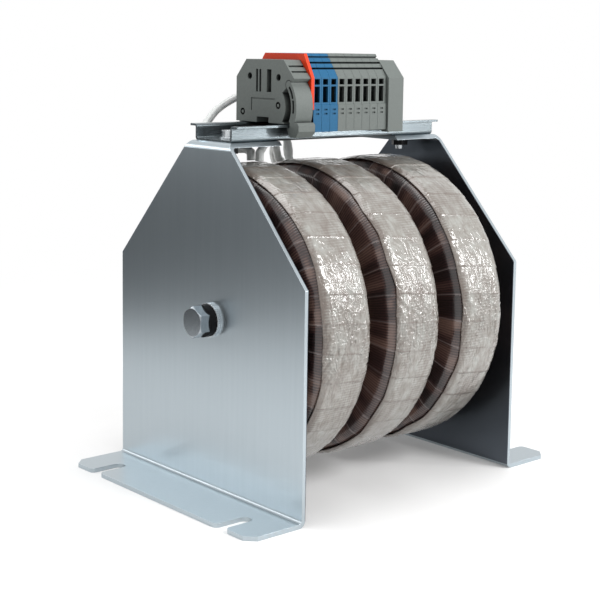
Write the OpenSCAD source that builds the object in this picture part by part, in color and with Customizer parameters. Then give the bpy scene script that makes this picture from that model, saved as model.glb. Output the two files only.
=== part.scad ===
// Three-phase toroidal reactor between two bent end plates, with a terminal rail on top.
// The bolt axis runs along X at y = 0, the feet stand on z = 0.

/* [End plates] */
// Room between the coils and the floor
foot_room = 9; // [7:0.5:30]
// Room between the coils and the top of the end plates
top_room = 10; // [9:0.5:30]
// Height of the sloping shoulders above the bolt axis
shoulder_rise = 23; // [5:1:30]
// Width of the top flange
top_width = 29; // [24:1:36]
// Length of the top flange, from the outer face of its plate
top_length = 31; // [24:1:34]
// Length of the foot flange, from the outer face of its plate
foot_length = 29; // [24:1:50]
// Thickness of the sheet steel
sheet = 2; // [1:0.5:2.5]
// Inside radius of the bends
bend_inner = 1.5; // [0.5:0.5:3]
// Cut across each outer corner of a foot
foot_corner = 4.5; // [1:0.5:8]
// Distance of the middle of the plates from the bolt axis
plate_offset = 3; // [0:0.5:8]

/* [Foot slots] */
// Distance of the slots from the ends of a foot
slot_edge = 20; // [14:1:30]
// Width of a slot
slot_width = 6.5; // [4.5:0.5:9]
// Length of a slot, from the edge of the foot to its round end
slot_length = 16.5; // [12:0.5:20]
// Rounding of the corners at the mouth of a slot
slot_mouth_radius = 2.5; // [0.5:0.5:4]

/* [Through bolt] */
// Diameter of the bolt
bolt_d = 8; // [6:1:8]
// Running clearance of the bolt in its holes, on the diameter
bolt_clearance = 1; // [0.5:0.1:1.5]
// Width across the flats of the bolt head and of the nut
hex_across = 13; // [12:0.5:15]
// Height of the bolt head
head_height = 5.3; // [4:0.1:7]
// Height of the nut
nut_height = 6.5; // [5:0.1:8]
// Length of thread past the nut
bolt_tail = 4; // [2:0.5:8]
// Pitch of the thread
thread_pitch = 1.25; // [1:0.05:1.5]
// Outer diameter of the flat washers
flat_washer_d = 16; // [15:0.5:20]
// Thickness of the flat washers
flat_washer_t = 1.6; // [1:0.1:2.5]
// Outer diameter of the black washer under the head
black_washer_d = 15; // [14:0.5:18]
// Thickness of the black washer under the head
black_washer_t = 3.5; // [2:0.1:5]
// Outer diameter of the spring washer under the nut
spring_washer_d = 14.8; // [13:0.1:16]
// Thickness of the spring washer
spring_washer_t = 2; // [1.5:0.1:3]
// Wall of the insulating tube round the bolt
sleeve_wall = 2; // [1:0.1:3]

/* [Coils] */
// Outer radius of a coil over its rim tape
coil_radius = 72; // [66:0.5:84]
// Thickness of a coil from its hole to its rim
coil_section = 44; // [38:0.5:48]
// Length of a wound coil along the bolt
coil_height = 32; // [30:0.5:33]
// Space between two coils
coil_gap = 11.5; // [10:0.5:12]
// Space between the front plate and the first coil
front_gap = 3; // [2.5:0.5:5]
// Space between the last coil and the back plate
rear_gap = 11; // [3:0.5:14]
// Thickness of the rim tape
tape_t = 0.8; // [0.5:0.1:1.5]
// Angle that the rim tape turns over the front shoulder of a coil
tape_front_angle = 35; // [20:1:60]
// Angle that the rim tape turns over the rear shoulder of a coil
tape_rear_angle = 55; // [20:1:60]
// Diameter of the winding wire
turn_d = 3.2; // [2:0.1:3.6]
// Number of loops of the outer layer
turn_count = 24; // [12:1:24]
// Radius of the loops at the corners of the winding
turn_corner = 6; // [5:0.5:8]
// Angle round the coil that stays free between the two wire ends
lead_angle = 5; // [4:0.5:12]
// Thickness of the winding outside the core
rim_build = 6.4; // [5.8:0.1:8]
// Thickness of the winding in the hole of the core
hole_build = 6.5; // [5.8:0.1:8]
// Thickness of the winding on each side of the core
side_build = 3.5; // [3:0.1:5]
// How far the spacer discs reach past the hole of a coil
spacer_rim = 18; // [8:1:30]

/* [Rail] */
// Distance of the rail's ends from the outer faces of the end plates
rail_inset = 3.5; // [3:0.5:8]
// Width of the mounting rail over its lips
rail_width = 35; // [35:1:35]
// Height of the mounting rail
rail_height = 7.5; // [7.5:0.5:7.5]
// Outer width of the rail's channel
channel_width = 27; // [26:0.5:28]
// Thickness of the rail
rail_t = 1; // [0.8:0.1:1.2]
// Inside radius of the rail's bends
rail_bend = 0.5; // [0.3:0.1:0.8]
// Distance of the rail screws from the outer face of their plate
screw_inset = 13; // [12:0.5:18]
// Diameter of the rail screws
screw_d = 4; // [3:0.5:4]

/* [Terminal blocks] */
// Width of one terminal block
block_pitch = 5.2; // [5:0.1:6.2]
// Number of blue terminal blocks
blue_count = 3; // [3:1:3]
// Number of grey terminal blocks
grey_count = 6; // [6:1:6]
// Length of a block across the rail
block_length = 41; // [40.5:0.5:50]
// Height of a block above the rail
block_rise = 32.9; // [31:0.1:40]
// Length of the flat on top of a block
block_plateau = 24.4; // [22:0.2:30]
// Height of the upright sides of a block above the rail
block_side = 21.8; // [20:0.1:24]
// Depth of the block's sides below the top of the rail
block_skirt = 3.5; // [2.5:0.1:5]
// Width of the wire windows
window_w = 3.2; // [2.6:0.1:3.6]
// Thickness of the orange separator plate
separator_t = 2; // [1:0.1:3]
// Thickness of the grey end plate
cover_t = 0.8; // [0.6:0.1:2]
// Distance of the first blue block from the middle of the frame
block_start = 22.3; // [20:0.1:25]

/* [End clamps] */
// Thickness of an end clamp along the rail
clamp_t = 10.3; // [8:0.1:12]
// Height of an end clamp above the rail
clamp_rise = 29.9; // [28:0.1:31]
// Distance of the plain side of an end clamp from the middle of the rail
clamp_side = 21.6; // [21:0.1:23.5]
// Radius of the curved spring arm, outside
arm_outer = 18.4; // [18:0.1:18.8]
// Radius of the curved spring arm, inside
arm_inner = 14.7; // [14.2:0.1:15]
// Width of the curved slot behind the spring arm
arm_slot = 4; // [3:0.1:4.4]

/* [Leads] */
// Diameter of the leads
lead_d = 4; // [2.6:0.1:4.2]
// Diameter of the ferrule collars
collar_d = 4.6; // [3.8:0.1:5]
// Length of the ferrule collars
collar_l = 6; // [4:0.5:8]
// Diameter of the ferrule pins
pin_d = 2.2; // [1.4:0.1:2.4]
// Length of the ferrule pins
pin_l = 8; // [5:0.5:9]

/* [Hidden] */
$fn = 64;

// One overrun for every cut
over = 1;
// Clearance between a loose part and its seat
seat = 0.3;
// Clearance between two moulded parts side by side
mould_gap = 0.1;
coil_count = 3;
block_count = blue_count + grey_count;

// Colours
zinc = [0.72, 0.77, 0.80];
steel = [0.60, 0.62, 0.64];
black = [0.08, 0.08, 0.09];
brown = [0.32, 0.22, 0.19];
maroon = [0.38, 0.22, 0.20];
film = [0.80, 0.79, 0.75];
board = [0.42, 0.30, 0.20];
iron = [0.30, 0.31, 0.34];
copper = [0.75, 0.45, 0.28];
blue = [0.20, 0.53, 0.75];
orange = [0.90, 0.30, 0.10];
grey = [0.55, 0.58, 0.56];
lead_white = [0.86, 0.87, 0.86];

// Directions and helpers for points
function unit(v) = v / norm(v);
function slide(o, d, m) = o - d * ((o * m) / (d * m));
function flatten_to(v, d) = v - d * (v * d);

// Rings of a tube of constant width along points p, mitred at each point
function start_offsets(d, r, sides) =
    let (side = abs(d[2]) < cos(45) ? [0, 0, 1] : [0, 1, 0])
    let (n = unit(flatten_to(side, d)))
    let (b = cross(d, n))
    [for (k = [0 : sides - 1]) r * (cos(360 * k / sides) * n + sin(360 * k / sides) * b)];

function mitre(o, d, i, last) =
    (i == 0 || i > last) ? o : [for (v = o) slide(v, d[i - 1], unit(d[i - 1] + d[i]))];

function settle(m, d, i, last) = i > last ? m : [for (v = m) flatten_to(v, d[i])];

function tube_rings(p, r, sides) =
    let (last = len(p) - 2)
    let (d = [for (i = [0 : last]) unit(p[i + 1] - p[i])])
    [
        for (
            i = 0, m = start_offsets(d[0], r, sides), o = start_offsets(d[0], r, sides);
            i <= last + 1;
            i = i + 1, m = mitre(o, d, i, last), o = settle(m, d, i, last)
        ) [for (v = m) p[i] + v]
    ];

module tube(p, r, sides) {
    rings = tube_rings(p, r, sides);
    count = len(p);
    points = [for (ring = rings) each ring];
    walls = [
        for (i = [0 : count - 2]) for (k = [0 : sides - 1])
            let (a = i * sides + k)
            let (b = i * sides + (k + 1) % sides)
            each [[a, a + sides, b + sides], [a, b + sides, b]]
    ];
    near_cap = [for (k = [1 : sides - 2]) [0, k, k + 1]];
    base = (count - 1) * sides;
    far_cap = [for (k = [1 : sides - 2]) [base, base + k + 1, base + k]];
    polyhedron(points = points, faces = concat(walls, near_cap, far_cap), convexity = 10);
}

// A smooth curve through hand-set points, one extra point between each two
function between(p, i) =
    let (a = p[max(i - 1, 0)])
    let (d = p[min(i + 2, len(p) - 1)])
    (9 * (p[i] + p[i + 1]) - a - d) / 16;

function smooth(p) = [
    for (i = [0 : len(p) - 2]) each [p[i], between(p, i)],
    p[len(p) - 1]
];

// Solids and outlines that run along an axis
module along_x(x, length) {
    translate([x, 0, 0])
        rotate([90, 0, 90])
            linear_extrude(length)
                children();
}

module along_y(y, length) {
    translate([0, y + length, 0])
        rotate([90, 0, 0])
            linear_extrude(length)
                children();
}

module rod_x(x, length, d) {
    translate([x, 0, 0])
        rotate([0, 90, 0])
            cylinder(h = length, d = d);
}

module ring_x(x, length, outer_d, inner_d) {
    difference() {
        rod_x(x, length, outer_d);
        rod_x(x - over, length + 2 * over, inner_d);
    }
}

module spin_x(x) {
    translate([x, 0, 0])
        rotate([0, 90, 0])
            rotate_extrude()
                children();
}

module at_bolt() {
    translate([0, 0, bolt_height])
        children();
}

// A strip bent at right angles along the middle line p
module folded_strip(p, t, inner) {
    middle = inner + t / 2;
    last = len(p) - 2;
    d = [for (i = [0 : last]) unit(p[i + 1] - p[i])];
    for (i = [0 : last]) {
        start = i == 0 ? 0 : middle;
        end = i == last ? 0 : middle;
        length = norm(p[i + 1] - p[i]) - start - end;
        translate(p[i] + d[i] * (start + length / 2))
            rotate(atan2(d[i][1], d[i][0]))
                square([length, t], center = true);
    }
    for (i = [1 : last]) {
        centre = p[i] + middle * (d[i] - d[i - 1]);
        translate(centre)
            intersection() {
                difference() {
                    circle(inner + t);
                    circle(inner);
                }
                translate((d[i - 1] - d[i]) * (inner + t) / 2)
                    square(inner + t, center = true);
            }
    }
}

module rounded_block(size, r) {
    square([size[0] - 2 * r, size[1]], center = true);
    square([size[0], size[1] - 2 * r], center = true);
    for (sx = [-1, 1]) {
        for (sy = [-1, 1]) {
            translate([sx * (size[0] / 2 - r), sy * (size[1] / 2 - r)])
                circle(r);
        }
    }
}

// Places along the bolt
coil_pitch = coil_height + coil_gap;
coil_hole_radius = coil_radius - coil_section;
plate_inside = (front_gap + coil_count * coil_height + (coil_count - 1) * coil_gap + rear_gap) / 2;
half_frame = plate_inside + sheet;
bolt_height = foot_room + coil_radius;
function coil_x(i) = -plate_inside + front_gap + coil_height / 2 + i * coil_pitch;

// End plates
plate_width = 2 * (coil_radius - plate_offset);
plate_near = plate_offset - plate_width / 2;
plate_height = bolt_height + coil_radius + top_room;
shoulder_height = bolt_height + shoulder_rise;
slot_pitch = plate_width - 2 * slot_edge;
slot_end_x = half_frame + foot_length - slot_length + slot_width / 2;
foot_edge = half_frame + foot_length;

module plate_outline() {
    translate([plate_offset, 0])
        polygon([
            [-plate_width / 2, 0],
            [plate_width / 2, 0],
            [plate_width / 2, shoulder_height],
            [top_width / 2, plate_height],
            [-top_width / 2, plate_height],
            [-plate_width / 2, shoulder_height]
        ]);
}

module plate_section() {
    folded_strip(
        [
            [foot_edge, sheet / 2],
            [half_frame - sheet / 2, sheet / 2],
            [half_frame - sheet / 2, plate_height - sheet / 2],
            [half_frame - top_length, plate_height - sheet / 2]
        ],
        sheet, bend_inner
    );
}

module slot_cut() {
    mouth = slot_width / 2 + slot_mouth_radius;
    translate([slot_end_x, 0])
        circle(d = slot_width);
    translate([slot_end_x, -slot_width / 2])
        square([foot_edge - slot_end_x + over, slot_width]);
    difference() {
        translate([foot_edge - slot_mouth_radius, -mouth])
            square([slot_mouth_radius + over, 2 * mouth]);
        for (side = [-1, 1]) {
            translate([foot_edge - slot_mouth_radius, side * mouth])
                circle(slot_mouth_radius);
        }
    }
}

module foot_cuts() {
    translate([0, plate_offset, -over])
        linear_extrude(sheet + 2 * over) {
            for (side = [-1, 1]) {
                translate([0, side * slot_pitch / 2])
                    slot_cut();
                translate([foot_edge, side * plate_width / 2])
                    rotate(45)
                        square(foot_corner * sqrt(2), center = true);
            }
        }
}

module end_plate() {
    color(zinc)
        difference() {
            intersection() {
                along_y(plate_near, plate_width)
                    plate_section();
                along_x(0, foot_edge + over)
                    plate_outline();
            }
            foot_cuts();
            at_bolt()
                rod_x(plate_inside - over, sheet + 2 * over, bolt_d + bolt_clearance);
            translate([screw_x, plate_offset, plate_height - sheet - over])
                cylinder(h = sheet + 2 * over, d = screw_d + 2 * seat);
        }
}

module back_end_plate() {
    end_plate();
}

module front_end_plate() {
    mirror([1, 0, 0])
        end_plate();
}

// Through bolt and what is stacked on it
head_face = half_frame + flat_washer_t + black_washer_t;
nut_face = half_frame + flat_washer_t + spring_washer_t;
bolt_end = nut_face + nut_height + bolt_tail;
hex_corner_d = hex_across / cos(30);
chamfer_rise = (hex_corner_d - hex_across) / 2 * tan(30);
thread_depth = 0.6 * thread_pitch;
thread_rings = floor(bolt_tail / thread_pitch);

module hex_block(length) {
    intersection() {
        rotate([0, 90, 0])
            cylinder(h = length, d = hex_corner_d, $fn = 6);
        union() {
            rod_x(0, length - chamfer_rise, hex_corner_d + over);
            translate([length - chamfer_rise, 0, 0])
                rotate([0, 90, 0])
                    cylinder(h = chamfer_rise, d1 = hex_corner_d, d2 = hex_across);
        }
    }
}

module through_bolt() {
    color(steel)
        at_bolt()
            difference() {
                union() {
                    mirror([1, 0, 0])
                        translate([head_face, 0, 0])
                            hex_block(head_height);
                    rod_x(-head_face, head_face + bolt_end - thread_depth, bolt_d);
                    translate([bolt_end - thread_depth, 0, 0])
                        rotate([0, 90, 0])
                            cylinder(h = thread_depth, d1 = bolt_d, d2 = bolt_d - 2 * thread_depth);
                }
                for (i = [1 : thread_rings - 1]) {
                    thread_groove(bolt_end - i * thread_pitch);
                }
            }
}

module thread_groove(x) {
    spin_x(x)
        polygon([
            [bolt_d / 2 - thread_depth, 0],
            [bolt_d / 2 + over, -(thread_depth + over) * tan(30)],
            [bolt_d / 2 + over, (thread_depth + over) * tan(30)]
        ]);
}

module bolt_sleeve() {
    color(black)
        at_bolt()
            ring_x(-plate_inside, 2 * plate_inside, sleeve_d, bolt_d + seat);
}

module black_washer() {
    color(black)
        at_bolt()
            ring_x(-head_face, black_washer_t, black_washer_d, bolt_d + seat);
}

module flat_washers() {
    color(zinc)
        at_bolt() {
            ring_x(-half_frame - flat_washer_t, flat_washer_t, flat_washer_d, bolt_d + seat);
            ring_x(half_frame, flat_washer_t, flat_washer_d, bolt_d + seat);
        }
}

module spring_washer() {
    color(steel)
        at_bolt()
            difference() {
                ring_x(half_frame + flat_washer_t, spring_washer_t, spring_washer_d, bolt_d + seat);
                translate([half_frame + flat_washer_t - over, -spring_washer_t / 4, 0])
                    cube([spring_washer_t + 2 * over, spring_washer_t / 2, spring_washer_d]);
            }
}

module bolt_nut() {
    color(zinc)
        at_bolt()
            translate([nut_face, 0, 0])
                difference() {
                    hex_block(nut_height);
                    rod_x(-over, nut_height + 2 * over, bolt_d);
                }
}

// Coils, from the inside out
sleeve_d = bolt_d + seat + 2 * sleeve_wall;
turn_r = turn_d / 2;
path_outer = coil_radius - tape_t - seat - turn_r;
path_inner = coil_hole_radius + turn_r;
path_half = coil_height / 2 - turn_r;
bed_outer = path_outer - turn_r - seat;
bed_inner = path_inner + turn_r + seat;
bed_half = path_half - turn_r - seat;
bed_corner = turn_corner + turn_d - 2 * seat;
core_outer_radius = bed_outer - rim_build;
core_inner_radius = bed_inner + hole_build;
core_height = 2 * (bed_half - side_build);
spacer_radius = coil_hole_radius + spacer_rim;
lead_stub = tape_t + 2 * seat + turn_r;
lead_place_share = 0.4;
lead_x = lead_place_share * coil_height / 2;

// Direction of each coil's first wire end, from straight up toward the far side
lead_exit_angles = [4, 27, 55];

// Direction from its corner of each point of a loop, round the wound section
loop_angles = [0, 45, 90, 90, 180, 180, 270, 270, 315, 360];
// Points of a loop before the second, the third and the last corner
corner_start_counts = [3, 5, 7];
function corner_at(m) = len([for (start = corner_start_counts) if (m >= start) start]);

function corner_radius_at(c) =
    (c == 0 || c == 3) ? path_outer - turn_corner : path_inner + turn_corner;
function corner_x_at(c) = (c < 2 ? 1 : -1) * (path_half - turn_corner);

// A point at radius r, place x along the bolt and angle a from straight up
function round_coil(r, x, a) = [x, r * sin(a), r * cos(a)];

function loop_point(m, a) = round_coil(
    corner_radius_at(corner_at(m)) + turn_corner * cos(loop_angles[m]),
    corner_x_at(corner_at(m)) + turn_corner * sin(loop_angles[m]),
    a
);

marks = len(loop_angles);
turn_step = (360 - lead_angle) / (turn_count * marks);

function winding_path(first) = concat(
    [
        round_coil(path_outer + lead_stub, lead_x, first),
        round_coil(path_outer, lead_x, first)
    ],
    [
        for (loop = [0 : turn_count - 1]) for (m = [0 : marks - 1])
            loop_point(m, first + turn_step * (loop * marks + m + 1 / 2))
    ],
    [
        round_coil(path_outer, lead_x, first - lead_angle),
        round_coil(path_outer + lead_stub, lead_x, first - lead_angle)
    ]
);

// Least distance between two loops, measured on the points of the winding
winding_points = winding_path(0);
winding_gap = min([
    for (i = [0 : len(winding_points) - marks])
        for (j = [i + marks - 3 : len(winding_points) - 1])
            norm(winding_points[i] - winding_points[j])
]) - turn_d;
echo(least_gap_between_loops_mm = winding_gap);

module core(i) {
    color(iron)
        at_bolt()
            ring_x(coil_x(i) - core_height / 2, core_height, 2 * core_outer_radius,
                2 * core_inner_radius);
}

module winding(i) {
    color(maroon)
        at_bolt()
            spin_x(coil_x(i))
                difference() {
                    translate([(bed_outer + bed_inner) / 2, 0])
                        rounded_block([bed_outer - bed_inner, 2 * bed_half], bed_corner);
                    translate([core_inner_radius - seat, -core_height / 2 - seat])
                        square([
                            core_outer_radius - core_inner_radius + 2 * seat,
                            core_height + 2 * seat
                        ]);
                }
}

module turns(i) {
    color(brown)
        at_bolt()
            translate([coil_x(i), 0, 0])
                tube(winding_path(lead_exit_angles[i]), turn_r, 6);
}

module tape_section() {
    centre_r = path_outer - turn_corner;
    centre_x = path_half - turn_corner;
    inner = turn_corner + turn_r + seat;
    outer = inner + tape_t;
    translate([coil_radius - tape_t, -centre_x])
        square([tape_t, 2 * centre_x]);
    for (side = [-1, 1]) {
        angle = side > 0 ? tape_rear_angle : tape_front_angle;
        translate([centre_r, side * centre_x])
            intersection() {
                difference() {
                    circle(outer);
                    circle(inner);
                }
                polygon([
                    [0, 0],
                    [2 * outer, 0],
                    [2 * outer * cos(angle), side * 2 * outer * sin(angle)]
                ]);
            }
    }
}

module rim_tape(i) {
    color(film)
        at_bolt()
            difference() {
                spin_x(coil_x(i))
                    tape_section();
                for (a = [lead_exit_angles[i], lead_exit_angles[i] - lead_angle]) {
                    translate([coil_x(i) + lead_x, 0, 0])
                        rotate([-a, 0, 0])
                            cylinder(h = coil_radius + over, d = turn_d + 2 * seat);
                }
            }
}

module centre_bush(i) {
    color(black)
        at_bolt()
            ring_x(coil_x(i) - coil_height / 2 - seat, coil_height + 2 * seat,
                2 * (coil_hole_radius - seat), sleeve_d + seat);
}

module disc_between(x, length, radius) {
    color(board)
        at_bolt()
            ring_x(x, length, 2 * radius, sleeve_d + seat);
}

module front_pad() {
    disc_between(-plate_inside, front_gap - seat, spacer_radius);
}

module coil_spacer(i) {
    disc_between(coil_x(i) + coil_height / 2 + seat, coil_gap - 2 * seat, spacer_radius);
}

module rear_spacer() {
    disc_between(plate_inside - rear_gap + seat, rear_gap - seat, spacer_radius);
}

// Rail and its fasteners
rail_length = 2 * (half_frame - rail_inset);
screw_x = half_frame - screw_inset;
rail_top = plate_height + rail_height;
lip_edge = rail_width / 2;
channel_half = channel_width / 2;
screw_head_d = 1.85 * screw_d;
screw_head_h = 0.8 * screw_d;
rail_washer_d = 2.3 * screw_d;
rail_washer_t = 0.17 * screw_d;
rail_nut_across = 1.83 * screw_d;
rail_nut_h = 0.8 * screw_d;
screw_tail = 0.5 * screw_d;
slit_w = 0.25 * screw_d;

module on_rail() {
    translate([0, plate_offset, rail_top])
        children();
}

module din_rail() {
    color(zinc)
        on_rail()
            difference() {
                along_x(-rail_length / 2, rail_length)
                    folded_strip(
                        [
                            [-lip_edge, -rail_t / 2],
                            [-channel_half + rail_t / 2, -rail_t / 2],
                            [-channel_half + rail_t / 2, rail_t / 2 - rail_height],
                            [channel_half - rail_t / 2, rail_t / 2 - rail_height],
                            [channel_half - rail_t / 2, -rail_t / 2],
                            [lip_edge, -rail_t / 2]
                        ],
                        rail_t, rail_bend
                    );
                for (side = [-1, 1]) {
                    translate([side * screw_x, 0, -rail_height - over])
                        cylinder(h = rail_t + 2 * over, d = screw_d + 2 * seat);
                }
            }
}

module at_screws(z) {
    for (side = [-1, 1]) {
        translate([side * screw_x, plate_offset, z])
            children();
    }
}

module rail_screws() {
    under = plate_height - sheet - rail_washer_t - rail_nut_h - screw_tail;
    seat_z = plate_height + rail_t + rail_washer_t;
    color(steel)
        at_screws(0)
            difference() {
                union() {
                    translate([0, 0, under])
                        cylinder(h = seat_z - under, d = screw_d);
                    translate([0, 0, seat_z])
                        cylinder(h = screw_head_h, d = screw_head_d);
                }
                for (turn = [0, 90]) {
                    translate([0, 0, seat_z + screw_head_h])
                        rotate(turn)
                            cube([0.6 * screw_head_d, slit_w, screw_head_h], center = true);
                }
            }
}

module rail_washers() {
    color(zinc) {
        at_screws(plate_height + rail_t)
            washer(rail_washer_d, screw_d + seat, rail_washer_t);
        at_screws(plate_height - sheet - rail_washer_t)
            washer(rail_washer_d, screw_d + seat, rail_washer_t);
    }
}

module washer(outer_d, inner_d, t) {
    difference() {
        cylinder(h = t, d = outer_d);
        translate([0, 0, -over])
            cylinder(h = t + 2 * over, d = inner_d);
    }
}

module rail_nuts() {
    color(black)
        at_screws(plate_height - sheet - rail_washer_t - rail_nut_h)
            difference() {
                cylinder(h = rail_nut_h, d = rail_nut_across / cos(30), $fn = 6);
                translate([0, 0, -over])
                    cylinder(h = rail_nut_h + 2 * over, d = screw_d);
            }
}

// Terminal blocks: sizes across the rail are measured from its middle, heights from its top
block_half = block_length / 2;
side_step = 0.5;
ledge_height = 0.41 * block_side;
lip_hold = 1.3;
hook_gap = 0.3;
hook_reach = 1.6;
hook_nose = 0.6;
wall = 0.9;
tall_window = [0.47 * block_side, 0.81 * block_side];
small_window = [0.85 * block_side, 0.97 * block_side];
pocket_bottom = 0.14 * block_side;
pocket_top = 1.08 * block_side;
groove_w = 1.1;
groove_depth = 0.9;
groove_place_shares = [0.15, 0.38, 0.62];
groove_depths = [0.9, 2.2, 2.2];
dash_height_shares = [0.3, 0.21];
dash = [2, 0.7];
dash_depth = 0.5;
jumper_slot = [2.2, 3.6];
jumper_depth = 6;
jumper_y = 4.2;
bar_t = 1.2;
bar_w = 3;
bar_height = 0.36 * block_side;
spring_t = 0.4;
spring_w = 2.8;
spring_span = 5.4;
spring_height = 8.5;
spring_bend = 1.2;
spring_place_share = 0.43;

function block_x(i) = -block_start + i * block_pitch;
function block_middle(i) = block_x(i) + block_pitch / 2;

// Right half of a block's outline, from its underside to its top
function block_half_outline(half, rise) = [
    [lip_edge + hook_gap, 0],
    [lip_edge + hook_gap, -rail_t - hook_gap],
    [lip_edge - hook_reach + hook_gap, -rail_t - hook_gap],
    [lip_edge - hook_reach + hook_gap, -rail_t - hook_gap - hook_nose],
    [lip_edge + hook_gap, -block_skirt],
    [half, -block_skirt],
    [half, ledge_height],
    [half - side_step, ledge_height + side_step],
    [half - side_step, block_side],
    [block_plateau / 2, rise]
];

// A closed outline from its right half
function both_halves(half) = concat(
    half,
    [for (i = [len(half) - 1 : -1 : 0]) [-half[i][0], half[i][1]]]
);

module block_outline(half, rise) {
    difference() {
        polygon(both_halves(block_half_outline(half, rise)));
        slope_grooves(half, rise);
        mirror([1, 0])
            slope_grooves(half, rise);
    }
}

module slope_grooves(half, rise) {
    from = [block_plateau / 2, rise];
    run = [half - side_step, block_side] - from;
    for (i = [0 : len(groove_place_shares) - 1]) {
        translate(from + groove_place_shares[i] * run)
            rotate(atan2(run[1], run[0]))
                square([groove_w, 2 * groove_depths[i]], center = true);
    }
}

module block_windows() {
    for (side = [-1, 1]) {
        for (span = [tall_window, small_window]) {
            translate([(block_pitch - window_w) / 2, side * (block_half - wall), span[0]])
                translate([0, -2 * wall, 0])
                    cube([window_w, 4 * wall, span[1] - span[0]]);
        }
        for (share = dash_height_shares) {
            translate([
                (block_pitch - dash[0]) / 2,
                side * block_half - dash_depth,
                share * block_side
            ])
                cube([dash[0], 2 * dash_depth, dash[1]]);
        }
        translate([(block_pitch - jumper_slot[0]) / 2, side * jumper_y - jumper_slot[1] / 2,
            block_rise - jumper_depth])
            cube([jumper_slot[0], jumper_slot[1], jumper_depth + over]);
    }
}

module block_pocket() {
    along_x(wall, block_pitch)
        polygon([
            [-block_half + 2 * wall, pocket_bottom],
            [block_half - 2 * wall, pocket_bottom],
            [block_half - 2 * wall, block_side],
            [block_plateau / 2, pocket_top],
            [-block_plateau / 2, pocket_top],
            [-block_half + 2 * wall, block_side]
        ]);
}

module terminal_block(i, tint) {
    color(tint)
        on_rail()
            translate([block_x(i), 0, 0])
                difference() {
                    along_x(0, block_pitch - mould_gap)
                        block_outline(block_half, block_rise);
                    block_windows();
                    block_pocket();
                }
}

module terminal_current_bars() {
    color(copper)
        on_rail()
            for (i = [0 : block_count - 1]) {
                translate([
                    block_x(i) + wall + mould_gap,
                    -block_half + 3 * wall,
                    bar_height
                ])
                    cube([bar_w, block_length - 6 * wall, bar_t]);
            }
}

module terminal_clamp_springs() {
    color(steel)
        on_rail()
            for (i = [0 : block_count - 1]) {
                for (side = [-1, 1]) {
                    along_x(block_x(i) + wall + mould_gap, spring_w)
                        translate([side * spring_place_share * block_half, bar_height + bar_t])
                            spring_outline();
                }
            }
}

module spring_outline() {
    leg = spring_span / 2;
    folded_strip(
        [[-leg, 0], [-leg, spring_height], [leg, spring_height], [leg, 0]],
        spring_t, spring_bend
    );
}

separator_foot = 7;
separator_top_near = 15.3;
separator_top_far = 12.8;
separator_edge = block_half + side_step;

module separator_plate() {
    color(orange)
        on_rail()
            along_x(-block_start - separator_t, separator_t - mould_gap)
                polygon([
                    [lip_edge + hook_gap, 0],
                    [lip_edge + hook_gap, separator_foot],
                    [separator_edge, separator_foot],
                    [separator_edge, block_side],
                    [separator_top_far, block_rise],
                    [-separator_top_near, block_rise],
                    [-separator_edge, block_side],
                    [-separator_edge, separator_foot],
                    [-lip_edge - hook_gap, separator_foot],
                    [-lip_edge - hook_gap, 0]
                ]);
}

module terminal_end_plate() {
    color(grey)
        on_rail()
            along_x(block_x(block_count), cover_t - mould_gap)
                block_outline(block_half, block_rise);
}

// End clamps: the spring arm is part of an arc about a point beside the middle of the rail
arm_centre = [-4.1, 8];
arm_top_angle = 141;
arm_root_r = 2;
clamp_lift = 0.3;
clamp_shoulder = 21.5;
clamp_top_far = 14.2;
clamp_top_near = 13;
clamp_near = 20.6;
clamp_skirt = 4.7;
clamp_hole_d = 3.2;
clamp_holes = [[11.5, 22], [-9.6, 21.7]];
clamp_slots = [[6.1, 1.4], [3.7, 1.4], [-2.8, 3.2]];
clamp_slot_span = [14.7, 25.3];
frame_line = 0.6;
frame_depth = 0.4;
frame_corner = [10.3, 11.8];
frame_size = [17.5, 6];
round_marks = [[-9.5, 8.7], [16.7, 4.9]];
round_mark_d = [3.4, 1.5];
round_mark_depth = 1.5;
notch_size = [8.8, 2.6];
notch_middle = 1.7;
foot_top = 0.3;
foot_bottom = -5.6;
foot_out = -24.2;
foot_in = -17.9;
foot_nose = 1.9;
arm_slit = [15.7, 16.9];
arm_slit_angles = [[144, 165], [168, 189]];

module wedge(from, to, r) {
    mid = (from + to) / 2;
    polygon([
        [0, 0],
        r * [cos(from), sin(from)],
        r * sqrt(2) * [cos((from + mid) / 2), sin((from + mid) / 2)],
        r * sqrt(2) * [cos((to + mid) / 2), sin((to + mid) / 2)],
        r * [cos(to), sin(to)]
    ]);
}

module arc_band(inner, outer, from, to) {
    intersection() {
        difference() {
            circle(outer);
            circle(inner);
        }
        wedge(from, to, 2 * outer);
    }
}

arm_root = arm_centre
    + (arm_inner + arm_outer) / 2 * [cos(arm_top_angle), sin(arm_top_angle)];
arm_low_angle = 218;
arm_clear_angle = 25;
arm_end_angle = 206;

module clamp_outer_outline() {
    polygon([
        [clamp_side, clamp_lift],
        [clamp_side, clamp_shoulder],
        [clamp_top_far, clamp_rise],
        [-clamp_top_near, clamp_rise],
        [-clamp_near, clamp_shoulder],
        [-clamp_near, clamp_lift]
    ]);
}

module clamp_hook(skirt) {
    tip = -rail_t - hook_gap - hook_nose - hook_gap;
    polygon([
        [lip_edge + hook_gap, clamp_lift + over],
        [lip_edge + hook_gap, -rail_t - hook_gap],
        [lip_edge - hook_reach, -rail_t - hook_gap],
        [lip_edge - hook_reach, tip],
        [lip_edge, -clamp_skirt],
        [skirt ? clamp_side : lip_edge + hook_reach, -clamp_skirt],
        [skirt ? clamp_side : lip_edge + hook_reach, clamp_lift + over]
    ]);
}

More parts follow.
